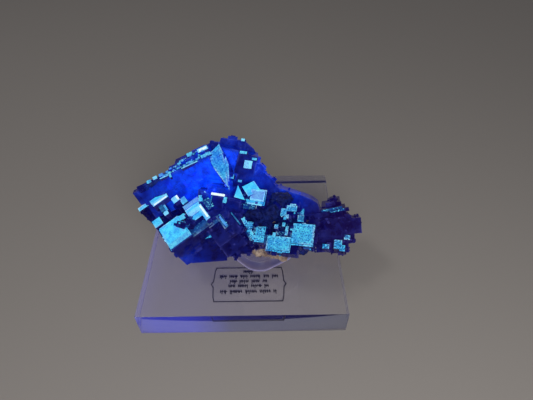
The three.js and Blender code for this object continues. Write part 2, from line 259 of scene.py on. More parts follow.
# The values that the materials read from the mesh: how frosted it is and how brightly
# it is painted as lit, how coarse the frost is, how much it glows, and how much painted
# pale sheen it has, all from 0 to 1.
finish_and_light_values = ("lit_frost", "coarse", "glow", "sheen")
lit_frost_at, grit_at, glow, sheen = [bm.verts.layers.float.new(name) for name in finish_and_light_values]

# Outer edges sharper than this (radians) get a painted pale sheen, some stretches more
# than others, and the sheen fades over this many millimetres.
sheen_angle = 0.6
sheen_reach = 0.4
usual_sheen = 0.1
uneven_sheen = 0.6
most_sheen = 0.6


def on_sheen_edge(vert):
    """Whether a point lies on an outer edge, where the crystal gets a painted pale sheen."""
    return any(e.is_convex and e.calc_face_angle(0) > sheen_angle for e in vert.link_edges)


sheen_edges = [v for v in bm.verts if on_sheen_edge(v)]
edges_tree = KDTree(len(sheen_edges))
for number, vert in enumerate(sheen_edges):
    edges_tree.insert(vert.co, number)
edges_tree.balance()

# Etched faces are cut into square hillocks; the others have slight waves. The scales are
# per millimetre, and the heights and depths are in millimetres.
broad_scale = 0.22
broad_height = 0.045
small_scale = 0.9
small_height = 0.03
small_start = Vector((7, 1, 3))
waves_sunk = 0.04
hillock_scale = 1.1
hillock_foot = 0.7
fine_hillocks = 0.1
coarse_hillocks = 0.25

for vert in bm.verts:
    place = vert.co / mm
    vert[lit_frost_at] = max(f[face_lit_frost] for f in vert.link_faces)
    vert[grit_at] = max(f[face_grit] for f in vert.link_faces)
    vert[glow] = glow_at(vert.co, vert.normal)
    from_edge = edges_tree.find(vert.co)[2] / mm
    broad = noise.noise(place * broad_scale)
    # The painted pale sheen: stronger along some stretches of edge, fading away from it.
    sheen_strength = max(0, min(most_sheen, usual_sheen + uneven_sheen * broad))
    vert[sheen] = math.exp(-from_edge / sheen_reach) * sheen_strength
    if all(f[face_lit_frost] > 0 for f in vert.link_faces):
        local = frames[host_frame(vert.normal)].inverted() @ vert.co / mm
        cells = noise.voronoi(local * hillock_scale, distance_metric="CHEBYCHEV", exponent=2)[0]
        height = -min(cells[0], hillock_foot) * (fine_hillocks + coarse_hillocks * vert[grit_at])
    else:
        small = noise.noise(place * small_scale + small_start)
        height = broad_height * broad + small_height * small - waves_sunk
    vert.co += vert.normal * height * mm
for face in bm.faces:
    face.material_index = 1 if face[face_lit_frost] > 0 else 0
crystal_sharpness = 28
crystals = shown("fluorite_crystals", bm, crystal_sharpness)


def joined(links, value, socket):
    """Puts a value into a socket: another socket, a colour or a number."""
    if isinstance(value, bpy.types.NodeSocket):
        links.new(value, socket)
    elif isinstance(value, tuple):
        socket.default_value = (*value, 1)
    else:
        socket.default_value = value


def mixed(nodes, links, share, low, high):
    """A colour that goes from low to high as share goes from 0 to 1.

    The mix node's colour sockets are inputs 6 and 7 and output 2.
    """
    mix = nodes.new("ShaderNodeMix")
    mix.data_type = "RGBA"
    for value, socket in ((share, mix.inputs["Factor"]), (low, mix.inputs[6]), (high, mix.inputs[7])):
        joined(links, value, socket)
    return mix.outputs[2]


def spread_out(nodes, links, value, start, end, low, high):
    """A value brought from the range start to end into the range low to high."""
    change = nodes.new("ShaderNodeMapRange")
    for number, socket in zip((value, start, end, low, high), list(change.inputs)[:5]):
        joined(links, number, socket)
    return change.outputs["Result"]


def reckoned(nodes, links, operation, first, second=0):
    """The result of an operation, such as MULTIPLY, on two values."""
    step = nodes.new("ShaderNodeMath")
    step.operation = operation
    joined(links, first, step.inputs[0])
    joined(links, second, step.inputs[1])
    return step.outputs[0]


def along_x(nodes, links):
    """How far to the right a point of the piece lies, in metres."""
    parts = nodes.new("ShaderNodeSeparateXYZ")
    links.new(nodes.new("ShaderNodeTexCoord").outputs["Object"], parts.inputs[0])
    return parts.outputs["X"]


def soft_noise(nodes, links, place, scale, detail, distortion=0):
    """Smooth noise over a place, about 0 to 1."""
    texture = nodes.new("ShaderNodeTexNoise")
    links.new(place, texture.inputs["Vector"])
    joined(links, scale, texture.inputs["Scale"])
    texture.inputs["Detail"].default_value = detail
    texture.inputs["Distortion"].default_value = distortion
    return texture.outputs["Fac"]


def grain_group():
    """Shared by all the minerals: broad patches, grains, fine specks and healed cracks, 0 to 1."""
    group = bpy.data.node_groups.new("mineral_grain", "ShaderNodeTree")
    for name in ("Patch Scale", "Grain Scale"):
        group.interface.new_socket(name, in_out="INPUT", socket_type="NodeSocketFloat")
    for name in ("Patches", "Grains", "Specks", "Cracks"):
        group.interface.new_socket(name, in_out="OUTPUT", socket_type="NodeSocketFloat")
    nodes, links = group.nodes, group.links
    given = nodes.new("NodeGroupInput").outputs
    result = nodes.new("NodeGroupOutput").inputs
    place = nodes.new("ShaderNodeTexCoord").outputs["Object"]

    patches = soft_noise(nodes, links, place, given["Patch Scale"], detail=4)
    links.new(spread_out(nodes, links, patches, 0.35, 0.65, 0, 1), result["Patches"])

    cells = nodes.new("ShaderNodeTexVoronoi")
    links.new(place, cells.inputs["Vector"])
    links.new(given["Grain Scale"], cells.inputs["Scale"])
    links.new(cells.outputs["Distance"], result["Grains"])

    specks = soft_noise(nodes, links, place, given["Grain Scale"], detail=2)
    links.new(specks, result["Specks"])

    # A crack runs wherever a wandering noise passes through one level.
    crack_level = 0.53
    crack_width = 0.04
    wander = soft_noise(nodes, links, place, 240, detail=3, distortion=0.6)
    from_level = reckoned(nodes, links, "SUBTRACT", wander, crack_level)
    distance = reckoned(nodes, links, "ABSOLUTE", from_level)
    links.new(spread_out(nodes, links, distance, 0, crack_width, 1, 0), result["Cracks"])
    return group


mineral_grain = grain_group()


def new_material(name):
    """A new material and its shader."""
    material = bpy.data.materials.new(name)
    material.use_nodes = True
    return material, material.node_tree.nodes["Principled BSDF"]


def started(name, patch_scale, grain_scale):
    """A new mineral finish: its material, nodes, links, shader and grain."""
    material, shader = new_material(name)
    nodes, links = material.node_tree.nodes, material.node_tree.links
    grain = nodes.new("ShaderNodeGroup")
    grain.node_tree = mineral_grain
    grain.inputs["Patch Scale"].default_value = patch_scale
    grain.inputs["Grain Scale"].default_value = grain_scale
    return material, nodes, links, shader, grain.outputs


def mesh_value(nodes, name):
    """A value that the mesh holds at its points."""
    reader = nodes.new("ShaderNodeAttribute")
    reader.attribute_name = name
    return reader.outputs["Fac"]


def bumped(nodes, links, shader, height, distance, strength):
    """Fine relief from a height, its full depth given in millimetres."""
    bump = nodes.new("ShaderNodeBump")
    bump.inputs["Strength"].default_value = strength
    bump.inputs["Distance"].default_value = distance * mm
    links.new(height, bump.inputs["Height"])
    links.new(bump.outputs["Normal"], shader.inputs["Normal"])


fluorite_ior = 1.434

# The clear finish: violet to ultramarine, royal blue where it glows, lilac where its
# edges carry a painted pale sheen.
clear, nodes, links, shader, grain = started("fluorite_clear", patch_scale=230, grain_scale=1300)
shader.inputs["IOR"].default_value = fluorite_ior
shader.inputs["Transmission Weight"].default_value = 0.4
shader.inputs["Emission Strength"].default_value = 1
shader.inputs["Specular Tint"].default_value = (0.25, 0.3, 1.0, 1)
patches = grain["Patches"]
inner = mesh_value(nodes, "glow")
edge_sheen = mesh_value(nodes, "sheen")
body = mixed(nodes, links, patches, (0.008, 0.004, 0.08), (0.012, 0.014, 0.2))
deep = mixed(nodes, links, inner, body, (0.01, 0.08, 0.8))
# Edges take a lilac painted pale sheen.
links.new(mixed(nodes, links, edge_sheen, deep, (0.2, 0.22, 0.8)), shader.inputs["Base Color"])
links.new(spread_out(nodes, links, patches, 0, 1, 0.06, 0.24), shader.inputs["Roughness"])
bumped(nodes, links, shader, grain["Grains"], distance=0.06, strength=0.4)

# Its own light: royal blue crossed by darker healed cracks, and next to none elsewhere.
clean = mixed(nodes, links, patches, (0.0, 0.014, 0.58), (0.002, 0.075, 1.15))
cracked = reckoned(nodes, links, "MULTIPLY", grain["Cracks"], 0.75)
bright = mixed(nodes, links, cracked, clean, (0.0, 0.01, 0.3))
faint = mixed(nodes, links, patches, (0.0008, 0.0003, 0.012), (0.0005, 0.0016, 0.04))
# The right end is more violet.
violet_from = 30 * mm
violet_to = 50 * mm
violet_end = spread_out(nodes, links, along_x(nodes, links), violet_from, violet_to, 0, 0.8)
faint = mixed(nodes, links, violet_end, faint, (0.005, 0.001, 0.02))
lit = mixed(nodes, links, inner, faint, bright)
# Edges with the painted pale sheen get more of it as a painted edge glow, the more so
# where the glow is.
near_glow = spread_out(nodes, links, inner, 0, 0.3, 0, 1)
edge_tone = mixed(nodes, links, near_glow, (0.05, 0.04, 0.3), (0.04, 0.2, 1.0))
edge_strength = spread_out(nodes, links, inner, 0, 0.4, 0.3, 0.7)
edge_share = reckoned(nodes, links, "MULTIPLY", edge_sheen, edge_strength)
links.new(mixed(nodes, links, edge_share, lit, edge_tone), shader.inputs["Emission Color"])

# The etched finish, painted as lit: a blue frost that goes from dim to icy, painted white
# as a highlight where it is palest, with painted shade in dark pits and painted bright
# glints between its hillocks.
etched, nodes, links, shader, grain = started("fluorite_etched_lit", patch_scale=300, grain_scale=1500)
shader.inputs["IOR"].default_value = fluorite_ior
shader.inputs["Emission Strength"].default_value = 1
shader.inputs["Specular Tint"].default_value = (0.5, 0.9, 1.0, 1)
shader.inputs["Roughness"].default_value = 0.3
patches = grain["Patches"]
specks = grain["Specks"]
coarse = mesh_value(nodes, "coarse")
pit_shade = spread_out(nodes, links, specks, 0.48, 0.62, 0, 1)
glints = spread_out(nodes, links, specks, 0.43, 0.33, 0, 0.8)
ice = mixed(nodes, links, patches, (0.03, 0.38, 0.88), (0.08, 0.7, 1.0))
shown_through = spread_out(nodes, links, mesh_value(nodes, "glow"), 0.08, 0.35, 0, 0.75)
whole = mixed(nodes, links, shown_through, ice, (0.006, 0.17, 1.0))
half = mixed(nodes, links, patches, (0.002, 0.008, 0.09), (0.01, 0.07, 0.28))
cover = spread_out(nodes, links, mesh_value(nodes, "lit_frost"), half_frost, 1, 0, 1)
lit_frost = mixed(nodes, links, cover, half, whole)
lit_frost = mixed(nodes, links, mesh_value(nodes, "sheen"), lit_frost, (0.82, 1.0, 1.0))
# Painted glints and painted shade in the pits, both stronger where the frost is coarse.
glint_share = reckoned(nodes, links, "MULTIPLY", glints, coarse)
lit_frost = mixed(nodes, links, glint_share, lit_frost, (0.16, 0.75, 1.0))
pit_shade_share = reckoned(nodes, links, "MULTIPLY", pit_shade, coarse)
lit_frost = mixed(nodes, links, pit_shade_share, lit_frost, (0.001, 0.03, 0.22))
own_light = 0.66
links.new(lit_frost, shader.inputs["Base Color"])
links.new(mixed(nodes, links, own_light, (0, 0, 0), lit_frost), shader.inputs["Emission Color"])
bumped(nodes, links, shader, grain["Grains"], distance=0.15, strength=0.6)


def set_on(piece, replaced=None):
    """A fluorite piece with its clear material and its etched one painted as lit, riding with the
    specimen.
    """
    piece.data.materials.append(clear)
    piece.data.materials.append(etched)
    if replaced:
        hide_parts(replaced)
    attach(piece, "root")


set_on(crystals, "fluorite")

# ---------------------------------------------------------------- growth steps and small cubes
# Thin square growth steps lie on the big faces and small cubes crowd round them, all of
# fluorite and turned the way their host is; here and there one is frosted and painted as
# lit like it, and a few carry a painted pale sheen.

dice = random.Random(3)
step_count = 420
step_spans = (1.2, 4.5)
step_heights = (0.3, 0.7)
step_sunk = 0.3
cube_count = 1300
cube_sunk = 0.25
small_cube_edges = (0.55, 1)
large_cube_edges = (1, 2)
crystal_wear = 0.05
carried_slack = 0.04
# Faces that point down, and not to the front, carry none.
hidden_slope = -0.2
# The shares that are left out: cubes above high_line (mm on the display plane), cubes on
# full frost, and steps on the broad plate.
high_line = 17
bare_above = 0.75
bare_on_frost = 0.97
bare_on_plate = 0.6
# The share of the crystals on frosted faces that are frosted and painted as lit too, and
# of cubes that are small.
frosted_share = 0.18
small_share = 0.72
# The share of its cubes that each calmer group of crystals keeps; the others keep all.
quiet_hosts = {
    "broad_plate": 0.04, "wedge_face": 0, "crown_faces": 0.1, "crown_back": 0.06,
    "lower_block": 0.25, "foot": 0.2, "violet_shoulder": 0.35, "right_shoulder": 0.35,
    "dark_front": 0.5, "violet_tip": 0.6, "lit_pair": 0.6,
}


def plain_block(bm, own, low, high):
    """A block between two corners in a crystal's own millimetres: its points and its +Z face."""
    size = (Vector(high) - Vector(low)) * mm
    middle = (Vector(low) + Vector(high)) / 2 * mm
    matrix = own @ Matrix.Translation(middle) @ Matrix.Diagonal((*size, 1))
    points = bmesh.ops.create_cube(bm, size=1, matrix=matrix)["verts"]
    up = own.col[2].to_3d()
    faces = {f for v in points for f in v.link_faces}
    return points, max(faces, key=lambda f: (f.calc_center_median() - matrix.translation).dot(up))


def crystal_mesh():
    """An empty mesh with the values at its points that the fluorite materials read, painted light among
    them.
    """
    bm = bmesh.new()
    for name in finish_and_light_values:
        bm.verts.layers.float.new(name)
    return bm


def values_on(bm, points, *values):
    """Gives points their values, in the order that the fluorite materials read them."""
    for name, value in zip(finish_and_light_values, values):
        for point in points:
            point[bm.verts.layers.float[name]] = value


def spot_on(corners):
    """A random place on a face."""
    shares = [dice.random() for _ in corners]
    return sum((c * s for c, s in zip(corners, shares)), Vector()) / sum(shares)


def axis_along(own, normal):
    """Which of a crystal's axes stands on a face."""
    return max(range(3), key=lambda i: abs(normal.dot(own.col[i].to_3d())))


def keeps_cube(name, place, amount):
    """Whether a cube grows here: seldom high up, on calm crystals or on fully frosted faces."""
    high_up = (display.inverted() @ place / mm).y > high_line
    if high_up and dice.random() < bare_above:
        return False
    if dice.random() > quiet_hosts.get(name, 1):
        return False
    return amount <= half_frost or dice.random() >= bare_on_frost


def grow(bm, name, place, normal, size, sunk, carried):
    """A small crystal on a face, sunk in by a share of its height, unless it would leave the part.

    Where carried is true, it has to stand on the face with its whole foot.
    """
    own = frames[name]
    axis = axis_along(own, normal)
    side = 1 if normal.dot(own.col[axis].to_3d()) > 0 else -1
    local = own.inverted() @ place / mm
    face_level = local[axis]
    local[axis] += side * size[axis] * (0.5 - sunk)
    low = [local[i] - size[i] / 2 for i in range(3)]
    high = [local[i] + size[i] / 2 for i in range(3)]
    corners = [[(low, high)[(bits >> i) & 1][i] for i in range(3)] for bits in range(8)]
    if carried:
        for corner in corners:
            foot = Vector(corner)
            foot[axis] = face_level
            if hosts_tree.find_nearest(own @ (foot * mm))[3] >= carried_slack * mm:
                return
    for corner in corners:
        reach = own @ (Vector(corner) * mm)
        if any(reach[i] < cad_box[0][i] or reach[i] > cad_box[1][i] for i in range(3)):
            return
    points, top = plain_block(bm, own, low, high)
    # A frosted top is painted as lit, as white as its set; each crystal takes the glow around it, and
    # now and then a random painted pale sheen.
    on_frost = name in etched_lit_sets and local.z > etched_lit_sets[name][1]
    lit_frosted = on_frost and dice.random() < frosted_share
    whiteness = etched_lit_sets[name][2] if lit_frosted else 0
    light = glow_at(place, normal) * dice.uniform(0.7, 1.1)
    cube_sheen = dice.uniform(0, 1) ** 6 * 0.4
    values_on(bm, points, whiteness, 0.3, light, cube_sheen)
    top.material_index = 1 if lit_frosted else 0


bm = crystal_mesh()
open_hosts = [host for host in hosts if host[1].z > hidden_slope or host[1].y < hidden_slope]
areas = [area for corners, normal, area, amount in open_hosts]
picked = dice.choices(open_hosts, areas, k=step_count + cube_count)
for corners, normal, area, amount in picked[:step_count]:
    place = spot_on(corners)
    name = host_frame(normal)
    if amount > half_frost or name == "broad_plate" and dice.random() < bare_on_plate:
        continue
    size = [dice.uniform(*step_spans) for _ in range(3)]
    size[axis_along(frames[name], normal)] = dice.uniform(*step_heights)
    grow(bm, name, place, normal, size, step_sunk, carried=True)

for corners, normal, area, amount in picked[step_count:]:
    place = spot_on(corners)
    name = host_frame(normal)
    if not keeps_cube(name, place, amount):
        continue
    edges = small_cube_edges if dice.random() < small_share else large_cube_edges
    edge_size = dice.uniform(*edges)
    size = [edge_size * dice.uniform(0.8, 1.25) for _ in range(3)]
    grow(bm, name, place, normal, size, cube_sunk, carried=False)

bmesh.ops.bevel(bm, geom=bm.edges, offset=crystal_wear * mm, segments=1, profile=0.5,
                affect="EDGES", material=-1)
set_on(shown("small_cubes", bm, crystal_sharpness))

# ---------------------------------------------------------------- frosted bars and tablets
# The brightest crystals are thin bars and tablets of fluorite that stand on the edges of
# the larger ones, frosted on top and painted as lit, the brightest of them painted nearly
# white as a highlight.

# The finishes and their painted light, as their values in the order: how frosted and how
# brightly painted as lit, how coarse, how much glow, and how much painted pale sheen.
lit_finishes = {
    "white": (1, 0.25, 0, 1),
    "ice": (1, 0.3, 0, 0.2),
    "cyan": (0.85, 0.4, 0, 0.05),
    "blue": (0.85, 0.4, 0.3, 0.06),
    "lavender": (0.75, 0.3, 0.3, 0.14),
    "granular": (0.75, 1, 0, 0),
    "dim": (0.42, 0.45, 0, 0),
    "teal": (0.37, 0.12, 0, 0),
    "speckled": (0.32, 1, 0, 0),
    "clear": (0, 0, 0.03, 0),
}
# Each one: its crystals, [left, right, bottom, top, face height, depth] in their own mm,
# and the finish of its face, with its painted light.
tablets = [
    ("plate_rim", [-3.5, 1.8, 3.9, 6.4, 0.5, 4], "ice"),
    ("plate_rim", [-2.7, 1.3, 4.3, 5.7, 0.7, 1], "white"),
    ("plate_rim", [-3.2, 2, 0.8, 2.8, -0.6, 3], "cyan"),
    ("plate_rim", [-9.1, -6.2, 5.8, 8.1, -1.1, 5], "cyan"),
    ("plate_rim", [-15.1, -13.3, 4.8, 6.2, -2.5, 3], "cyan"),
    ("plate_rim", [-38, -15.9, 3.7, 5.4, -4.8, 4], "clear"),
    ("plate_rim", [-29.1, -26.9, 4.2, 6.2, -4.2, 3], "ice"),
    ("plate_rim", [-32.5, -30.2, 3.6, 5.6, -4.2, 3], "cyan"),
    ("plate_rim", [-25.8, -23.6, 4.2, 6, -4, 3], "blue"),
    ("plate_rim", [-21.1, -20.1, 0.9, 4.7, -3.8, 2], "cyan"),
    ("plate_rim", [-25.9, -21.3, 2.9, 3.5, -4.1, 2], "ice"),
    ("plate_rim", [-14.1, -5.6, 0.6, 1.2, -1.1, 2], "ice"),
    ("lit_step", [-11.5, -9.6, 24, 25.4, -4.9, 3], "ice"),
    ("lit_step", [-8.7, -5.1, 15.8, 17.1, 2.5, 3], "cyan"),
    ("lit_step", [-2.6, -0.1, 13.8, 15, 0.4, 2], "cyan"),
    ("lit_step", [-6, -2, 9.2, 13.2, 0.6, 3], "ice"),
    ("lit_step", [-11.4, -9.8, 3, 5.1, 1, 3], "cyan"),
    ("lit_step", [-9.2, -7.2, 2.8, 4, -5.2, 2], "cyan"),
    ("lit_step", [-18, -11.1, -6.9, -5.7, 5.6, 3], "white"),
    ("lit_step", [-11.7, -9.8, -9.8, -6.9, 5.2, 2], "cyan"),
    ("lit_step", [-17.8, -17.2, -11.4, -7.2, 5.4, 2], "dim"),
    ("lit_step", [0.2, 7.2, -6, -0.6, 1.1, 2], "ice"),
    ("lit_step", [0.8, 6.7, -5.1, -1.2, 1.3, 1], "lavender"),
    ("lit_step", [-0.8, 6.5, -8, -7.2, 0.6, 2], "ice"),
    ("lit_step", [-2.6, 3.2, -10.3, -8, 0.4, 2], "speckled"),
    ("lower_block", [3.8, 12.6, 23.5, 26, 3.2, 4], "ice"),
    ("lower_block", [4.6, 12, 23.6, 24.5, 3.4, 1], "white"),
    ("lower_block", [13.2, 16.4, 18.5, 22.2, 2, 3], "ice"),
    ("lower_block", [15.5, 16.5, 18.9, 21.9, 2.2, 1], "white"),
    ("lower_block", [16.9, 19.1, 15.6, 19.7, 0.9, 3], "cyan"),
    ("lower_block", [5.9, 8.3, 15.9, 18.1, 1.4, 3], "ice"),
    ("lower_block", [5.5, 7.7, 19.2, 25.8, 1, 2], "teal"),
    ("lower_block", [11.9, 14.3, 8.5, 11.4, 0.1, 2], "cyan"),
    ("lower_block", [-0.3, 11.6, -1.6, 1.4, 0.2, 2], "cyan"),
    ("lower_block", [15.3, 24.2, 13.1, 15.7, -0.6, 2], "lavender"),
    ("lower_block", [15.8, 23.1, 6.5, 9.7, 0.8, 2], "ice"),
    ("lower_block", [21.4, 23.4, -0.6, 9.6, 1, 2], "ice"),
    ("lower_block", [22.2, 23.1, 0.4, 8.8, 1.2, 1], "white"),
    ("lower_block", [26.2, 28.2, -8.4, 0.3, -2.5, 2], "speckled"),
    ("lower_block", [26.7, 27.6, -7.6, -0.8, -2.3, 1], "blue"),
    ("lower_block", [32.5, 33.2, -10, -1, -5.3, 2], "dim"),
    ("dark_blocks", [-7.2, -3.7, 4.4, 9.6, 0.7, 2], "speckled"),
    ("right_cluster", [-16.6, -11.8, -12.7, -5.4, 4.6, 4], "granular"),
    ("right_cluster", [-21.1, -18.3, -6.3, -3, 5.4, 3], "granular"),
    ("right_cluster", [2.3, 5, 1.9, 4.2, 0.2, 1], "dim"),
    ("right_cluster", [-8.6, -3, -15.1, -8, -1.6, 4], "clear"),
    ("right_cluster", [-4.5, 3.6, -15.3, -8, -1.4, 6], "clear"),
    ("violet_tip", [-10.1, 0.6, -5, -3.8, 4.2, 3], "speckled"),
    ("violet_tip", [-6.1, 1.4, -6.4, -5.4, 3.6, 3], "speckled"),
]
tablet_wear = 0.08


def tablet(bm, own, low, high, finish):
    """A bar or tablet between two corners, with a finish and its painted light on its face."""
    points, face = plain_block(bm, own, low, high)
    values_on(bm, points, *lit_finishes[finish])
    face.material_index = 0 if finish == "clear" else 1


bm = crystal_mesh()
for name, (left, right, bottom, top, height, depth), finish in tablets:
    tablet(bm, frames[name], (left, bottom, height - depth), (right, top, height), finish)

# The ragged rim above the broad plate is crowded with smaller ones, in a band that widens
# and drops to the right. A ray from above finds the place of each.
rim = frames["plate_rim"]
rim_grains = 150
rim_left = -39
rim_right = 1
rim_height = 6.6
rim_drop = 0.08
band_start = 0.9
band_growth = 0.05
lowest_found = -10
rim_lit_finishes = ("cyan", "blue", "blue", "blue", "dim", "dim", "ice", "granular")
for _ in range(rim_grains):
    along = dice.uniform(rim_left, rim_right)
    from_left = along - rim_left
    band = band_start + band_growth * from_left
    height = rim_height - rim_drop * from_left + dice.uniform(-band, band)
    above = rim @ (Vector((along, height, 12)) * mm)
    found = hosts_tree.ray_cast(above, -rim.col[2].to_3d())[0]
    if found is None or (rim.inverted() @ found / mm).z < lowest_found:
        continue
    middle = rim.inverted() @ found / mm
    half = Vector((dice.uniform(0.2, 0.7), dice.uniform(0.2, 0.5), 0.6))
    tablet(bm, rim, middle - half, middle + half, dice.choice(rim_lit_finishes))
bmesh.ops.bevel(bm, geom=bm.edges, offset=tablet_wear * mm, segments=1, profile=0.5,
                affect="EDGES", material=-1)
set_on(shown("frosted_tablets", bm, crystal_sharpness))

# ---------------------------------------------------------------- sphalerite
# Black sphalerite sits between the cubes: resinous, with small curved facets that
# give it a broken glitter.

facet_scale = 0.45
facet_depth = 0.75
chip_scale = 1.3
chip_depth = 0.3
sphalerite_length = 0.7


def pit_depth(place, scale):
    """How far a place is from the middle of its cell: rounded hollows with sharp ridges."""
    return noise.voronoi(place * scale, distance_metric="DISTANCE", exponent=2)[0][0]


bm = solid_copy("sphalerite")
refined(bm, lambda edge: sphalerite_length)
for vert in bm.verts:
    place = vert.co / mm
    depth = facet_depth * pit_depth(place, facet_scale) + chip_depth * pit_depth(place, chip_scale)
    vert.co -= vert.normal * depth * mm
sphalerite = shown("sphalerite_crystals", bm)

black, nodes, links, shader, grain = started("sphalerite_black", patch_scale=500, grain_scale=1800)
shader.inputs["IOR"].default_value = 1.7
shader.inputs["Roughness"].default_value = 0.22
shader.inputs["Specular Tint"].default_value = (0.3, 0.4, 1.0, 1)
shader.inputs["Emission Strength"].default_value = 1
blue_black = mixed(nodes, links, grain["Patches"], (0.004, 0.004, 0.035), (0.014, 0.022, 0.15))
faint_light = mixed(nodes, links, grain["Patches"], (0.001, 0.001, 0.014), (0.001, 0.004, 0.04))
links.new(blue_black, shader.inputs["Base Color"])
links.new(faint_light, shader.inputs["Emission Color"])
bumped(nodes, links, shader, grain["Grains"], distance=0.08, strength=0.5)
sphalerite.data.materials.append(black)
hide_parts("sphalerite")
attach(sphalerite, "root")

# ---------------------------------------------------------------- calcite matrix
# The lump underneath is tan calcite with barite, broken off its vein: rough, dull and
# pitted, with browner stains in patches.

fold_scale = 0.16
fold_depth = 0.7
pitting_scale = 0.8
pitting_depth = 0.45
swelling = 0.5
calcite_length = 1

bm = solid_copy("calcite_matrix")
refined(bm, lambda edge: calcite_length)
for vert in bm.verts:
    place = vert.co / mm
    folds = noise.turbulence(place * fold_scale, 3, False, noise_basis="PERLIN_ORIGINAL")
    pitting = pitting_depth * pit_depth(place, pitting_scale)
    vert.co += vert.normal * (swelling - fold_depth * folds - pitting) * mm

# A row of crumbs lies along its front edge, on the riser: small balls, each made ragged
# and pitted and pressed flat at its foot.
crumb_count = 24
crumb_sizes = (0.8, 2.3)
crumbs_start = (6.8, -16.4)
crumbs_end = (21, -22)
crumbs_foot = 20.25
crumbs_height = 20.6
for number in range(crumb_count):
    along = number / (crumb_count - 1)
    size = dice.uniform(*crumb_sizes)
    x, y = (start + (end - start) * along for start, end in zip(crumbs_start, crumbs_end))
    centre = Vector((x, y, crumbs_height + dice.uniform(0, 2)))
    centre += Vector((dice.uniform(-0.8, 0.8), dice.uniform(-1, 0.6), 0))
    matrix = Matrix.Diagonal((mm, mm, mm, 1)) @ Matrix.Translation(centre)
    for vert in bmesh.ops.create_icosphere(bm, subdivisions=4, radius=1, matrix=matrix)["verts"]:
        place = vert.co / mm
        out = place - centre
        ragged = noise.noise(place * 0.9) + 0.6 * noise.noise(place * 2.3)
        place = centre + out * size * (1.05 + 0.6 * ragged - 0.55 * pit_depth(place, 1.3))
        vert.co = Vector((place.x, place.y, max(crumbs_foot, place.z))) * mm
lump = shown("calcite_lump", bm)

tan, nodes, links, shader, grain = started("calcite_tan", patch_scale=240, grain_scale=900)
shader.inputs["Roughness"].default_value = 0.75
stained = mixed(nodes, links, grain["Patches"], (0.34, 0.23, 0.2), (0.88, 0.7, 0.54))
links.new(stained, shader.inputs["Base Color"])
bumped(nodes, links, shader, grain["Grains"], distance=0.2, strength=0.6)
lump.data.materials.append(tan)
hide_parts("calcite_matrix")
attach(lump, "root")

# ---------------------------------------------------------------- acrylic block
# A block sawn from clear cast acrylic, all its faces polished and its edges lightly
# broken. The shallow recess that holds the label is closed here, as nothing shows it.

block_low, block_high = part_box("acrylic_base")
edge_break = 0.2 * mm
acrylic_sharpness = 20
bm = bmesh.new()
bmesh.ops.create_cube(bm, size=1)
bmesh.ops.scale(bm, vec=block_high - block_low, verts=bm.verts)
bmesh.ops.translate(bm, vec=(block_high + block_low) / 2, verts=bm.verts)
bmesh.ops.bevel(bm, geom=bm.edges, offset=edge_break, segments=3, profile=0.5,
                affect="EDGES", material=-1)
block = shown("clear_block", bm, acrylic_sharpness)


def light_group():
    """Light caught in acrylic: a colour that fades along X, and another at the left edge."""
    group = bpy.data.node_groups.new("caught_light", "ShaderNodeTree")
    for name in ("Left", "Right", "Edge"):
        group.interface.new_socket(name, in_out="INPUT", socket_type="NodeSocketColor")
    for name in ("Fade Start", "Fade End", "Edge Start", "Edge End"):
        group.interface.new_socket(name, in_out="INPUT", socket_type="NodeSocketFloat")
    group.interface.new_socket("Light", in_out="OUTPUT", socket_type="NodeSocketColor")
    nodes, links = group.nodes, group.links
    given = nodes.new("NodeGroupInput").outputs
    across = along_x(nodes, links)
    share = spread_out(nodes, links, across, given["Fade Start"], given["Fade End"], 0, 1)
    edge = spread_out(nodes, links, across, given["Edge Start"], given["Edge End"], 1, 0)
    faded = mixed(nodes, links, share, given["Left"], given["Right"])
    caught = mixed(nodes, links, edge, faded, given["Edge"])
    links.new(caught, nodes.new("NodeGroupOutput").inputs["Light"])
    return group


caught_light = light_group()
edge_band = 9 * mm


def acrylic_finish(name, tint, roughness):
    """Polished or matt acrylic: its material and its shader."""
    material, shader = new_material(name)
    shader.inputs["Base Color"].default_value = (*tint, 1)
    shader.inputs["Roughness"].default_value = roughness
    shader.inputs["IOR"].default_value = 1.49
    shader.inputs["Transmission Weight"].default_value = 1
    shader.inputs["Emission Strength"].default_value = 1
    return material, shader


def lit_across(material, shader, left, right, fade):
    """Gives acrylic its caught light, from left to right over the range of X in fade."""
    caught = material.node_tree.nodes.new("ShaderNodeGroup")
    caught.node_tree = caught_light
    caught.inputs["Left"].default_value = (*left, 1)
    caught.inputs["Right"].default_value = (*right, 1)
    caught.inputs["Edge"].default_value = (0.006, 0.006, 0.05, 1)
    caught.inputs["Fade Start"].default_value = fade[0]
    caught.inputs["Fade End"].default_value = fade[1]
    caught.inputs["Edge Start"].default_value = block_low.x
    caught.inputs["Edge End"].default_value = block_low.x + edge_band
    material.node_tree.links.new(caught.outputs["Light"], shader.inputs["Emission Color"])


acrylic, shader = acrylic_finish("clear_acrylic", tint=(0.93, 0.93, 0.97), roughness=0.02)
whole_width = (block_low.x, block_high.x)
lit_across(acrylic, shader, left=(0.003, 0.003, 0.03), right=(0, 0, 0.002), fade=whole_width)
block.data.materials.append(acrylic)

# The side faces gather more of the blue light, most of it on the left.
bright_side, shader = acrylic_finish("clear_acrylic_edge", tint=(0.86, 0.86, 0.92), roughness=0.02)
side_fade = (-24 * mm, -6 * mm)
lit_across(bright_side, shader, left=(0.008, 0.011, 0.14), right=(0, 0, 0.006), fade=side_fade)
block.data.materials.append(bright_side)
for face in block.data.polygons:
    face.material_index = 1 if abs(face.normal.z) < 0.5 else 0
block.visible_shadow = False
block.visible_diffuse = False
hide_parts("acrylic_base")
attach(block, "root")

# ---------------------------------------------------------------- acrylic riser
# A small clear piece with rounded corners, drawn in towards its top, that carries the
# specimen. Its top is polished and its sides are matt, and light gathers along their foot.

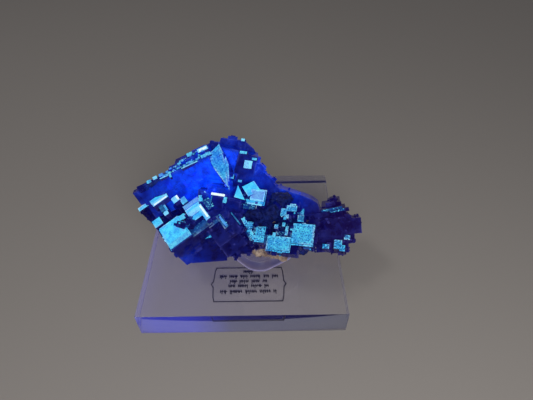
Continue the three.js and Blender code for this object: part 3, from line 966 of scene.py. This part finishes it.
riser_low, riser_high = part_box("acrylic_riser")
riser_corners = [(7, -28), (29, -15), (16, 9), (-9, 6), (-14, -9)]
corner_round = 7.5 * mm
top_share = 0.86
riser_edge_round = 0.3 * mm
rim_top = riser_low.z + 0.9 * mm

bm = bmesh.new()
ring = [bm.verts.new((x * mm, y * mm, riser_low.z)) for x, y in riser_corners]
bm.faces.new(ring)
bmesh.ops.bevel(bm, geom=ring, offset=corner_round, offset_type="OFFSET", segments=8, profile=0.5,
                affect="VERTICES", material=-1)
middle = sum((v.co for v in bm.verts), Vector()) / len(bm.verts)
raised = bmesh.ops.extrude_face_region(bm, geom=list(bm.faces))["geom"]
top = [item for item in raised if isinstance(item, bmesh.types.BMVert)]
bmesh.ops.translate(bm, vec=(0, 0, riser_high.z - riser_low.z), verts=top)
bmesh.ops.scale(bm, vec=(top_share, top_share, 1), verts=top, space=Matrix.Translation(-middle))
bmesh.ops.recalc_face_normals(bm, faces=bm.faces)
outer_edges = [e for e in bm.edges if e.calc_face_angle(0) > 0.7]
bmesh.ops.bevel(bm, geom=outer_edges, offset=riser_edge_round, segments=3, profile=0.5,
                affect="EDGES", material=-1)
bmesh.ops.bisect_plane(bm, geom=bm.verts[:] + bm.edges[:] + bm.faces[:], dist=0,
                       plane_co=(0, 0, rim_top), plane_no=(0, 0, 1))
riser = shown("clear_riser", bm, acrylic_sharpness)

# The matt sides carry a faint painted glow, and the band along their foot a stronger lilac one.
riser_edge, shader = acrylic_finish("clear_riser_edge", tint=(1, 1, 1), roughness=0.3)
shader.inputs["Emission Color"].default_value = (0.02, 0.02, 0.035, 1)
riser_rim, shader = acrylic_finish("clear_riser_rim", tint=(1, 1, 1), roughness=0.3)
shader.inputs["Emission Color"].default_value = (0.12, 0.115, 0.21, 1)
for material in (acrylic, riser_edge, riser_rim):
    riser.data.materials.append(material)
for face in riser.data.polygons:
    if abs(face.normal.z) > 0.9:
        face.material_index = 0
    elif face.center.z > rim_top:
        face.material_index = 1
    else:
        face.material_index = 2
riser.visible_shadow = False
riser.visible_diffuse = False
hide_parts("acrylic_riser")
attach(riser, "root")

# ---------------------------------------------------------------- label
# A thin clear label under the block, seen through it: a printed plaque outline with
# sides like braces, around rows of plain pen strokes. No wording is made.

label_low, label_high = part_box("base_label")
ink_inset = 0.03 * mm
ink_low = label_low.z + ink_inset
ink_high = label_high.z - ink_inset
plaque_low, plaque_high = Vector((-14.9, -36)), Vector((19.3, -15.8))
line_width = 0.42
side_bow = 1
side_shoulder = 2.4
side_point = 2.1
point_height = 1.8


def drawn_line(bm, start, end, width):
    """A flat bar of ink from start to end, in millimetres, that runs a little past both."""
    run = Vector(end) - Vector(start)
    centre = (Vector(start) + Vector(end)) / 2 * mm
    place = Matrix.Translation((centre.x, centre.y, (ink_low + ink_high) / 2))
    turned = Matrix.Rotation(math.atan2(run.y, run.x), 4, "Z")
    size = Matrix.Diagonal(((run.length + 0.6 * width) * mm, width * mm, ink_high - ink_low, 1))
    bmesh.ops.create_cube(bm, size=1, matrix=place @ turned @ size)


# One quarter of the plaque's outline is set out, and mirrored for the others.
bm = bmesh.new()
middle = (plaque_low + plaque_high) / 2
half = (plaque_high - plaque_low) / 2
quarter = [(0, half.y), (half.x, half.y), (half.x + 0.6 * side_bow, half.y - side_shoulder),
           (half.x + side_bow, point_height), (half.x + side_point, 0)]
for flip_x in (1, -1):
    for flip_y in (1, -1):
        turned = [middle + Vector((x * flip_x, y * flip_y)) for x, y in quarter]
        for start, end in zip(turned, turned[1:]):
            drawn_line(bm, start, end, line_width)

# The rows: each one's height and half its length, from the plaque's middle. A long stroke
# runs through every word and short ones cross it.
rows = [(-4.3, 14.2), (-1, 10.2), (1.8, 9.4), (4.8, 15), (7.7, 2.6)]
stroke_width = 0.38
stroke_heights = (1.5, 1.5, 1.5, 2.2)
stroke_foot = 0.75
stroke_lean = 0.3
word_lengths = (2.5, 6)
word_gap = 1.3
for height, half_length in rows:
    place = -half_length
    while place < half_length:
        end = min(place + dice.uniform(*word_lengths), half_length)
        drawn_line(bm, middle + Vector((place, height)), middle + Vector((end, height)), stroke_width)
        while place < end:
            foot = middle + Vector((place, height + stroke_foot))
            head = foot - Vector((dice.uniform(-stroke_lean, stroke_lean), dice.choice(stroke_heights)))
            drawn_line(bm, foot, head, stroke_width)
            place += dice.uniform(0.6, 1)
        place += word_gap
label = shown("label_lines", bm, acrylic_sharpness)

ink, shader = new_material("label_ink")
shader.inputs["Base Color"].default_value = (0.05, 0.045, 0.06, 1)
shader.inputs["Roughness"].default_value = 0.6
label.data.materials.append(ink)
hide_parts("base_label")
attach(label, "root")

# ---------------------------------------------------------------- stage
# The specimen stands on a plain warm grey floor in a dim room, with one soft panel high
# on its left and another low in front. The camera looks down on it from the front.

floor_drop = 0.2 * mm
floor_reach = 3
bm = bmesh.new()
bmesh.ops.create_grid(bm, x_segments=1, y_segments=1, size=floor_reach)
bmesh.ops.translate(bm, vec=(0, 0, cad_box[0].z - floor_drop), verts=bm.verts)
floor = shown("floor", bm)
matte, shader = new_material("floor_matte")
shader.inputs["Base Color"].default_value = (0.5, 0.457, 0.42, 1)
shader.inputs["Roughness"].default_value = 0.8
floor.data.materials.append(matte)

room = bpy.data.worlds.new("room")
room.use_nodes = True
background = room.node_tree.nodes["Background"]
background.inputs["Color"].default_value = (0.96, 0.96, 1.0, 1)
background.inputs["Strength"].default_value = 0.14
bpy.context.scene.world = room


def soft_panel(name, place, target, size, power):
    """A square soft light at a place, turned to a target, with its side in m and power in W."""
    light = bpy.data.lights.new(name, "AREA")
    light.shape = "SQUARE"
    light.size = size
    light.energy = power
    lamp = bpy.data.objects.new(name, light)
    lamp.location = place
    lamp.rotation_euler = (Vector(place) - Vector(target)).to_track_quat("Z", "Y").to_euler()
    bpy.context.scene.collection.objects.link(lamp)
    return lamp


soft_panel("key_panel", place=(-0.45, 0.07, 0.81), target=(0, 0, 0.04), size=0.2, power=0.6)
front = soft_panel("front_panel", place=(0.06, -0.34, 0.24), target=(0, -0.12, 0), size=0.25, power=0.6)
front.visible_glossy = False

# The camera: its lens, its place and how far it looks down, rolls and swings, in degrees.
view_camera = bpy.data.cameras.new("camera")
view_camera.sensor_width = 36
view_camera.lens = 27.21
view_camera.clip_start = 0.005
camera = bpy.data.objects.new("camera", view_camera)
camera.location = (0.0119, -0.1484, 0.1825)
look_down = Matrix.Rotation(math.radians(90 - 43.59), 4, "X")
roll = Matrix.Rotation(math.radians(-0.73), 4, "Z")
swing = Matrix.Rotation(math.radians(-0.09), 4, "Z")
camera.rotation_euler = (swing @ look_down @ roll).to_euler()
bpy.context.scene.collection.objects.link(camera)
bpy.context.scene.camera = camera
bpy.context.scene.view_settings.view_transform = "Standard"
